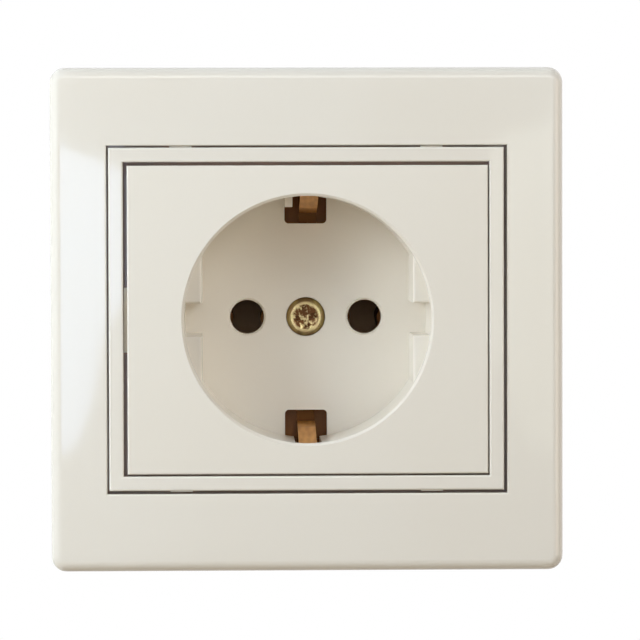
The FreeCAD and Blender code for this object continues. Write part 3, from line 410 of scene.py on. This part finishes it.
@dataclass(frozen=True)
class Phenolic(Finish):
    """Dark pressed resin with wood flour in it."""

    name: str
    colour: Colour
    flour: Colour
    roughness: float = 0.42
    clouds: Spots = Spots(6 * MM, 3.0, 0.3, 0.7)
    cloud_share: float = 0.6
    cloud_roughness: float = 0.12
    specks: Spots = Spots(0.35 * MM, 2.0, 0.6, 0.72)
    speck_share: float = 0.5
    peel_size: float = 0.8 * MM
    peel_depth: float = 0.01 * MM
    peel_strength: float = 0.5
    specular: float = 0.25

    def tone(self, shader: Shader, cloud: Signal) -> Signal:
        """The colour, with clouds and fine light specks of the flour.

        Args:
            shader: adds nodes to the tree.
            cloud: how cloudy the resin is, from 0 to 1.

        Returns:
            The colour.
        """
        tone = shader.blend(cloud * self.cloud_share, self.colour, self.flour)
        return shader.blend(self.specks.on(shader) * self.speck_share, tone, self.flour)

    def paint(self, shader: Shader, surface: bpy.types.Node) -> None:
        """Clouded colour and a faint orange-peel surface."""
        cloud = self.clouds.on(shader)
        peel = shader.noise(self.peel_size)
        shader.feed(surface, {
            "Base Color": self.tone(shader, cloud),
            "Roughness": cloud * self.cloud_roughness + self.roughness,
            "Normal": shader.bump(peel, self.peel_depth, self.peel_strength),
            "Specular IOR Level": self.specular,
        })


@dataclass(frozen=True)
class PaleChamberPhenolic(Phenolic):
    """Pressed resin that turns pale deep in the chambers behind the pin holes.

    The pale tone starts at one depth along Y, is full at the next, and ends under the chambers'
    bottom. It keeps within reach of the middle.
    """

    chamber_tone: Colour = (0.92, 0.63, 0.37)
    reach: float = 15.5 * MM
    side_blur: float = 0.4 * MM
    starts: float = 13 * MM
    full: float = 18 * MM
    bottom: float = 28 * MM
    bottom_blur: float = 0.3 * MM

    def tone(self, shader: Shader, cloud: Signal) -> Signal:
        """The plain colour, turning pale by depth inside the chambers.

        Args:
            shader: adds nodes to the tree.
            cloud: how cloudy the resin is, from 0 to 1.

        Returns:
            The colour.
        """
        radius = shader.radius()
        within = 1.0 - shader.contrast(radius, self.reach, self.reach + self.side_blur)
        depth = shader.part(shader.place(), "Y")
        deep = shader.contrast(depth, self.starts, self.full)
        above = 1.0 - shader.contrast(depth, self.bottom, self.bottom + self.bottom_blur)
        return shader.blend(within * deep * above, super().tone(shader, cloud), self.chamber_tone)


@dataclass(frozen=True)
class Metal(Finish):
    """Rolled or plated metal: brushed one way, with clouds of a second tone."""

    name: str
    colour: Colour
    second: Colour
    roughness: float
    grain: Scale = (1.0, 1.0, 12.0)
    clouds: Spots = Spots(2.5 * MM, 3.0, 0.35, 0.7)
    smudges: Spots = Spots(4 * MM, 2.0, 0.4, 0.75)
    smudge_roughness: float = 0.12
    brush_size: float = 1.2 * MM
    brush_detail: float = 3.0
    brush_roughness: float = 0.08
    brush_depth: float = 0.003 * MM
    brush_strength: float = 0.7

    def clad(self, shader: Shader, surface: bpy.types.Node, tone: Signal, dull: Signal) -> None:
        """Gives the surface shader brushed metal.

        Args:
            shader: adds nodes to the tree.
            surface: the tree's surface shader.
            tone: the metal's colour.
            dull: the roughness that is added to the metal's own.
        """
        brushed = shader.noise(self.brush_size, self.brush_detail, self.grain)
        shader.feed(surface, {
            "Base Color": tone,
            "Metallic": 1.0,
            "Roughness": dull + brushed * self.brush_roughness + self.roughness,
            "Normal": shader.bump(brushed, self.brush_depth, self.brush_strength),
        })

    def paint(self, shader: Shader, surface: bpy.types.Node) -> None:
        """Clouded colour and smudges."""
        tone = shader.blend(self.clouds.on(shader), self.colour, self.second)
        self.clad(shader, surface, tone, self.smudges.on(shader) * self.smudge_roughness)


@dataclass(frozen=True, kw_only=True)
class ShadePaintedMetal(Metal):
    """Plated metal with painted shade: brown where a mask lies, and its own colour elsewhere."""

    painted_shade: Colour
    reach: float
    spread: float
    ragged: float
    shaded_roughness: float = 0.25
    streaks: Scale = EVEN
    brush_size: float = 0.8 * MM
    brush_strength: float = 0.8

    def shade_mask(self, shader: Shader) -> Signal:
        """1 where the painted shade lies and 0 where the metal keeps its own colour."""
        raise NotImplementedError

    def paint(self, shader: Shader, surface: bpy.types.Node) -> None:
        """Clouded metal under painted shade with a ragged edge."""
        clean = shader.blend(self.clouds.on(shader, self.streaks), self.colour, self.second)
        mask = self.shade_mask(shader)
        # Painted shade: where the mask lies, the metal turns dark brown.
        tone = shader.blend(mask, clean, self.painted_shade)
        self.clad(shader, surface, tone, mask * self.shaded_roughness)


@dataclass(frozen=True, kw_only=True)
class SpringBrass(ShadePaintedMetal):
    """Strip that keeps its bright colour near the front and has painted shade deeper in, where
    shade falls.
    """

    def shade_mask(self, shader: Shader) -> Signal:
        """The painted shade starts at a depth along Y."""
        # Painted shade: deeper than reach, the strip turns dark brown.
        depth = shader.part(shader.place(), "Y") + shader.noise(self.ragged) * self.spread
        return shader.contrast(depth, self.reach, self.reach + self.spread)


@dataclass(frozen=True, kw_only=True)
class YellowZinc(ShadePaintedMetal):
    """Yellow passivated screw with painted shade in its recess, on its flank and at its top and
    bottom, and painted glints.
    """

    crown: float = 2.3 * MM
    head: float = 4.0 * MM
    edge_blur: float = 0.1 * MM
    # Across this range of X, the painted shade on the head gives way to its bright sides, where the
    # lamps light them.
    lit_sides: tuple[float, float] = (1.1 * MM, 2.0 * MM)
    glints: Spots = Spots(0.6 * MM, 2.0, 0.50, 0.68)
    glint_share: float = 0.8
    flank_shade_share: float = 0.3
    top_bottom_shade_share: float = 0.6

    def shade_mask(self, shader: Shader) -> Signal:
        """Painted shade fills the recess, but for painted glints, and darkens the flank and the
        head's top and bottom.
        """
        radius = shader.radius()
        across = radius + shader.noise(self.ragged) * self.spread
        recess = 1.0 - shader.contrast(across, self.reach, self.reach + self.spread)
        # Painted glints: spots where the recess's painted shade leaves the metal's own colour.
        glints = self.glints.on(shader) * self.glint_share
        # Painted shade on the top and bottom of the head, and fainter on the flank outside the
        # crown.
        aside = shader.part(shader.place(), "X").size()
        dull = 1.0 - shader.contrast(aside, *self.lit_sides)
        flank = shader.contrast(radius, self.crown, self.crown + self.edge_blur)
        other = shader.contrast(radius, self.head, self.head + self.edge_blur)
        rim = (flank * self.flank_shade_share).larger(dull * self.top_bottom_shade_share) * (1.0 - other)
        return (recess * (1.0 - glints)).larger(rim * (1.0 - recess))


class Slot(Enum):
    """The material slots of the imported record, with the finish of each."""

    COVER_PLASTIC = GapShadedPlastic("cover_plastic", CREAM, DEEP_CREAM, roughness=0.2, gloss=1.0)
    PLATE_PLASTIC = MouldedPlastic("plate_plastic", CREAM, DEEP_CREAM, roughness=0.36, gloss=0.3)
    PHENOLIC = PaleChamberPhenolic("phenolic", (0.29, 0.112, 0.03), (0.38, 0.18, 0.058))
    ZINC_STEEL = Metal("zinc_steel", (0.60, 0.60, 0.59), (0.50, 0.49, 0.47), roughness=0.30)
    YELLOW_ZINC = YellowZinc(
        "yellow_zinc", (0.75, 0.67, 0.32), (0.67, 0.49, 0.27), roughness=0.2,
        clouds=Spots(1.3 * MM, 3.0, 0.3, 0.7), painted_shade=(0.12, 0.054, 0.022),
        reach=2.1 * MM, spread=0.4 * MM, ragged=0.5 * MM)
    BRASS = Metal("brass", (0.78, 0.60, 0.30), (0.70, 0.50, 0.24), roughness=0.26)
    SPRING_BRASS = SpringBrass(
        "spring_brass", (0.75, 0.375, 0.073), (0.57, 0.24, 0.025), roughness=0.28,
        grain=(5.0, 1.0, 1.0), clouds=Spots(3.2 * MM, 0.5, 0.3, 0.7), streaks=(4.0, 1.0, 1.0),
        brush_depth=0.006 * MM, painted_shade=(0.13, 0.055, 0.018),
        reach=8.6 * MM, spread=1.4 * MM, ragged=1.5 * MM)

    @classmethod
    def named(cls, name: str) -> "Slot":
        """The slot with a name from the record."""
        return cls[name.upper()]


def dress(node: str, slot: Slot) -> None:
    """Gives a CAD node its finish.

    Args:
        node: the node's name.
        slot: the record's slot for it.
    """
    piece = frame["nodes"][node]
    finish = slot.value.material()
    if not piece.material_slots:
        piece.data.materials.append(finish)
    for place in piece.material_slots:
        place.material = finish
    log.info("%s has the finish %s", node, slot.value.name)


def make_object(name: str, mesh: bmesh.types.BMesh) -> bpy.types.Object:
    """Turns a bmesh into an object at the origin and frees the bmesh.

    Args:
        name: the object's name.
        mesh: the shape, in its final place.

    Returns:
        The new object.
    """
    data = bpy.data.meshes.new(name)
    mesh.to_mesh(data)
    mesh.free()
    made = bpy.data.objects.new(name, data)
    bpy.context.scene.collection.objects.link(made)
    return made


@dataclass
class Covers:
    """The three mouldings of the front: frame, ring and socket plate."""

    glossy: tuple[str, ...] = ("cover_frame", "trim_ring")
    satin: tuple[str, ...] = ("socket_plate",)

    def nodes(self) -> tuple[str, ...]:
        """The names of the three."""
        return self.glossy + self.satin

    def build(self) -> None:
        """Dresses the mouldings."""
        for node in self.glossy:
            dress(node, Slot.COVER_PLASTIC)
        for node in self.satin:
            dress(node, Slot.PLATE_PLASTIC)


@dataclass
class Mechanism:
    """All that the covers go on: bracket, base, contacts, terminals, screws and claws."""

    covers: Covers

    def build(self) -> None:
        """Dresses every node but the covers by its slot in the record."""
        for part in frame["record"]["subparts"]:
            if part["node"] not in self.covers.nodes():
                dress(part["node"], Slot.named(part["material_slot"]))


@dataclass
class RolledThread:
    """The thread of a claw screw: one ridge that winds along the shank."""

    screw: str
    body: str
    pitch: float = 0.7 * MM
    rise: float = 0.16 * MM
    root: float = 1.47 * MM
    crest_share: float = 0.16
    head_space: float = 6.0 * MM
    tip_space: float = 0.6 * MM
    steps: int = 28
    merge: float = 0.002 * MM

    def outline(self, start: float, turns: int) -> list[tuple[float, float]]:
        """The outline of a row of teeth.

        Args:
            start: where the row starts, along the screw.
            turns: the number of teeth.

        Returns:
            Points, each as its distance from the screw's axis and its place along it.
        """
        crest = self.root + self.rise
        flat = self.crest_share * self.pitch
        points = []
        for turn in range(turns):
            foot = start + turn * self.pitch
            middle = foot + self.pitch / 2
            points += [(self.root, foot), (crest, middle - flat), (crest, middle + flat)]
        return points + [(self.root, start + turns * self.pitch)]

    def build(self) -> None:
        """Spins a row of teeth once round while it moves on by one pitch."""
        low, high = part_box(self.screw)
        centre = Vector(((low[0] + high[0]) / 2, 0.0, (low[2] + high[2]) / 2))
        start = low[1] + self.head_space
        # The spin itself adds a pitch to the ridge's length, so the row is one tooth short.
        turns = int((high[1] - self.tip_space - start) / self.pitch) - 1
        mesh = bmesh.new()
        corners = [
            mesh.verts.new((centre.x + out, along, centre.z))
            for out, along in self.outline(start, turns)]
        edges = [mesh.edges.new(pair) for pair in zip(corners, corners[1:])]
        bmesh.ops.spin(
            mesh, geom=corners + edges, cent=centre, axis=(0.0, 1.0, 0.0),
            dvec=(0.0, self.pitch / self.steps, 0.0), angle=2 * math.pi, steps=self.steps)
        bmesh.ops.remove_doubles(mesh, verts=mesh.verts, dist=self.merge)
        bmesh.ops.recalc_face_normals(mesh, faces=mesh.faces)
        ridge = make_object(self.screw + "_thread", mesh)
        ridge.data.materials.append(Slot.ZINC_STEEL.value.material())
        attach(ridge, self.body)
        log.info("%s has %d turns", ridge.name, turns)


@dataclass
class StudioCamera:
    """The camera, where the fit to the picture puts it."""

    azimuth: float = -1.338
    elevation: float = 1.717
    roll: float = -0.1535
    distance: float = 584.65 * MM
    lens: float = 205.49
    sensor: float = 36.0
    nearest: float = 10 * MM
    aim: Vector = field(default_factory=lambda: Vector((2.145 * MM, 0.0, -0.332 * MM)))

    def back(self) -> Vector:
        """The direction from the aim to the camera."""
        turn, rise = math.radians(self.azimuth), math.radians(self.elevation)
        return Vector((
            math.sin(turn) * math.cos(rise),
            -math.cos(turn) * math.cos(rise),
            math.sin(rise),
        ))

    def eye(self) -> Vector:
        """Where the camera stands."""
        return self.aim + self.back() * self.distance

    def build(self) -> None:
        """Makes the camera and turns it to its aim."""
        roll = math.radians(self.roll)
        back = self.back()
        right = (-back).cross(Vector((0.0, 0.0, 1.0))).normalized()
        up = right.cross(-back)
        rolled_right = right * math.cos(roll) + up * math.sin(roll)
        rolled_up = up * math.cos(roll) - right * math.sin(roll)
        data = bpy.data.cameras.new("camera")
        data.lens = self.lens
        data.sensor_width = self.sensor
        data.clip_start = self.nearest
        camera = bpy.data.objects.new("camera", data)
        bpy.context.scene.collection.objects.link(camera)
        axes = Matrix((rolled_right, rolled_up, back)).transposed().to_4x4()
        camera.matrix_world = Matrix.Translation(self.eye()) @ axes
        bpy.context.scene.camera = camera
        log.info("camera at %.4f %.4f %.4f", *self.eye())


@dataclass
class Lamp:
    """A soft box that lights the object."""

    name: str
    place: Vector
    size: float
    power: float
    colour: Colour
    mirrored: bool = True
    aim: Vector = field(default_factory=Vector)

    def build(self) -> None:
        """Makes the lamp, which the camera itself doesn't see."""
        data = bpy.data.lights.new(self.name, "AREA")
        data.shape = "RECTANGLE"
        data.size = data.size_y = self.size
        data.energy = self.power
        data.color = self.colour
        lamp = bpy.data.objects.new(self.name, data)
        lamp.location = self.place
        lamp.rotation_euler = (self.aim - self.place).to_track_quat("-Z", "Y").to_euler()
        lamp.visible_camera = False
        lamp.visible_glossy = self.mirrored
        bpy.context.scene.collection.objects.link(lamp)
        log.info("lamp %s", self.name)


@dataclass
class Reflector:
    """A bright cloth far behind the camera, which shows only as a gloss on the frame's face.

    Its corners are given by the places on the frame's face that mirror them, as X and Z in
    millimetres.
    """

    name: str
    corners: tuple[tuple[float, float], ...]
    eye: Vector
    colour: Colour
    strength: float
    face: float = -9.8 * MM
    depth: float = -1.2
    rounding: float = 3 * MM
    rounding_steps: int = 4
    hidden_from: tuple[str, ...] = (
        "camera", "diffuse", "shadow", "transmission", "volume_scatter")

    def mirrored(self, across: float, up: float) -> Vector:
        """Where a ray from the eye that is mirrored at a place on the face goes.

        Args:
            across: the place's X in millimetres.
            up: its Z in millimetres.

        Returns:
            The point of the ray at the reflector's depth.
        """
        spot = Vector((across * MM, self.face, up * MM))
        ray = spot - self.eye
        ray.y = -ray.y
        return spot + ray * ((self.depth - self.face) / ray.y)

    def build(self) -> None:
        """Makes one face with its corners rounded, which glows."""
        mesh = bmesh.new()
        corners = [mesh.verts.new(self.mirrored(*corner)) for corner in self.corners]
        mesh.faces.new(corners)
        bmesh.ops.bevel(
            mesh, geom=corners, offset=self.rounding, affect="VERTICES",
            segments=self.rounding_steps, profile=0.5, material=-1)
        cloth = make_object(self.name, mesh)
        material = new_material(self.name)
        shader = Shader(material.node_tree)
        inputs = {"Color": self.colour, "Strength": self.strength}
        shader.show(shader.node("ShaderNodeEmission", inputs=inputs))
        cloth.data.materials.append(material)
        for kind in self.hidden_from:
            setattr(cloth, "visible_" + kind, False)
        log.info("reflector %s", self.name)


@dataclass
class Studio:
    """World, floor, lamps and reflectors."""

    back_light: Colour = (0.45, 0.45, 0.45)
    front_light: Colour = (0.065, 0.065, 0.065)
    front_edge: tuple[float, float] = (-0.15, 0.3)
    camera_light: Colour = (1.0, 0.95, 0.85)
    camera_cone: tuple[float, float] = (0.96, 0.98)
    room: Colour = (0.42, 0.41, 0.40)
    room_edge: tuple[float, float] = (0.0, 1.0)
    floor_drop: float = 60 * MM
    floor_reach: float = 3.0
    floor_colour: Colour = (0.36, 0.27, 0.16)
    floor_white: float = 0.85
    shadow_reach: tuple[float, float] = (0.25, 0.4)
    wide_box: float = 0.30
    small_box: float = 0.14

    def rays(self, shader: Shader, *names: str) -> Signal:
        """1 for the named kinds of rays and 0 for the rest."""
        seen = shader.node("ShaderNodeLightPath", output=names[0])
        for name in names[1:]:
            seen = seen.larger(shader.node("ShaderNodeLightPath", output=name))
        return seen

    def build_world(self) -> None:
        """Makes the world, whose light, reflection and background differ.

        The light is soft from behind, faint from the front and bright close round the camera.
        Gloss mirrors a dim room, and the background is white.
        """
        world = bpy.data.worlds.new("studio")
        world.use_nodes = True
        bpy.context.scene.world = world
        shader = Shader(world.node_tree)
        around = shader.node("ShaderNodeTexCoord", output="Generated")
        ahead = 0.0 - shader.part(around, "Y")
        front = shader.contrast(ahead, *self.front_edge)
        light = shader.blend(front, self.back_light, self.front_light)
        cone = shader.contrast(ahead, *self.camera_cone)
        light = shader.blend(cone, light, self.camera_light)
        room = shader.blend(shader.contrast(ahead, *self.room_edge), WHITE, self.room)
        lit, mirrored, white = (
            shader.node("ShaderNodeBackground", inputs={"Color": colour})
            for colour in (light, room, WHITE))
        both = shader.mix_surfaces(self.rays(shader, "Is Glossy Ray"), lit, mirrored)
        seen = self.rays(shader, "Is Camera Ray", "Is Transmission Ray")
        shader.show(shader.mix_surfaces(seen, both, white), "World Output")
        log.info("world %s", world.name)

    def build_floor(self) -> None:
        """Makes a pale floor some way below the socket, which keeps its shadow."""
        low = CAD_BOX[0][2] - self.floor_drop
        mesh = bmesh.new()
        bmesh.ops.create_grid(mesh, x_segments=1, y_segments=1, size=self.floor_reach)
        bmesh.ops.translate(mesh, vec=(0.0, 0.0, low), verts=mesh.verts)
        floor = make_object("floor", mesh)
        material = new_material("floor")
        shader = Shader(material.node_tree)
        matt = shader.node("ShaderNodeBsdfDiffuse", inputs={"Color": self.floor_colour})
        white = shader.node("ShaderNodeEmission", inputs={"Color": WHITE})
        far = shader.contrast(shader.length(shader.place()), *self.shadow_reach)
        seen = self.rays(shader, "Is Camera Ray", "Is Glossy Ray", "Is Transmission Ray")
        share = seen * (far * (1.0 - self.floor_white) + self.floor_white)
        shader.show(shader.mix_surfaces(share, matt, white))
        floor.data.materials.append(material)
        log.info("floor at %.3f", low)

    def lamps(self) -> list[Lamp]:
        """Three wide boxes at the sides and the upper left, and two small near ones."""
        return [
            Lamp("left_lamp", Vector((-0.42, -0.30, 0.0)), self.wide_box, 0.68,
                 (0.88, 0.96, 1.0), mirrored=False),
            Lamp("right_lamp", Vector((0.42, -0.30, 0.0)), self.wide_box, 0.51,
                 (1.0, 0.885, 0.735)),
            Lamp("upper_left_lamp", Vector((-0.30, -0.40, 0.30)), self.wide_box, 0.225,
                 (0.75, 0.85, 1.0)),
            Lamp("near_left_lamp", Vector((-0.26, -0.15, 0.08)), self.small_box, 0.605,
                 (0.83, 0.92, 1.0), mirrored=False),
            Lamp("near_right_lamp", Vector((0.16, -0.20, 0.16)), self.small_box, 0.245,
                 (0.88, 0.94, 1.0), mirrored=False),
        ]

    def reflectors(self, eye: Vector) -> list[Reflector]:
        """Cloths whose reflections lie on the frame's left and right sides and above it.

        Args:
            eye: where the camera stands.

        Returns:
            The reflectors, not yet built.
        """
        left = (
            (-43.6, 35.3), (-41.2, 31.7), (-39.4, 28.8), (-37.6, 26.8), (-34.9, 26.0),
            (-28.8, 23.5), (-28.8, 3.0), (-32.3, -2.6), (-33.2, -9.7), (-34.6, -15.1),
            (-36.2, -19.2), (-37.9, -20.9), (-39.0, -22.2), (-40.5, -24.5), (-43.6, -26.9),
        )
        right = (
            (28.8, 28.2), (30.4, 29.1), (37.3, 30.4), (38.8, 34.5), (42.1, 36.1),
            (42.1, -31.6), (38.5, -28.0), (36.6, -23.3), (34.3, -19.8), (31.8, -11.5),
            (28.8, -3.3),
        )
        above = ((-160.0, 50.0), (160.0, 50.0), (160.0, 220.0), (-160.0, 220.0))
        return [
            Reflector("left_reflector", left, eye, (0.62, 0.76, 1.0), 5.6),
            Reflector("right_reflector", right, eye, (0.96, 1.0, 0.92), 2.1),
            Reflector("upper_reflector", above, eye, WHITE, 2.2),
        ]

    def build(self, eye: Vector) -> None:
        """Builds the studio.

        Args:
            eye: where the camera stands.
        """
        self.build_world()
        self.build_floor()
        for lamp in self.lamps():
            lamp.build()
        for reflector in self.reflectors(eye):
            reflector.build()


def set_view() -> None:
    """Plain colours, with no film look."""
    bpy.context.scene.view_settings.view_transform = "Standard"


def main() -> None:
    """Builds everything in order."""
    logging.basicConfig(level=logging.INFO, format="%(message)s")
    set_view()
    camera = StudioCamera()
    camera.build()
    Studio().build(camera.eye())
    covers = Covers()
    covers.build()
    Mechanism(covers).build()
    for side in ("left", "right"):
        RolledThread("claw_screw_" + side, side + "_screw").build()


if __name__ == "__main__":
    main()
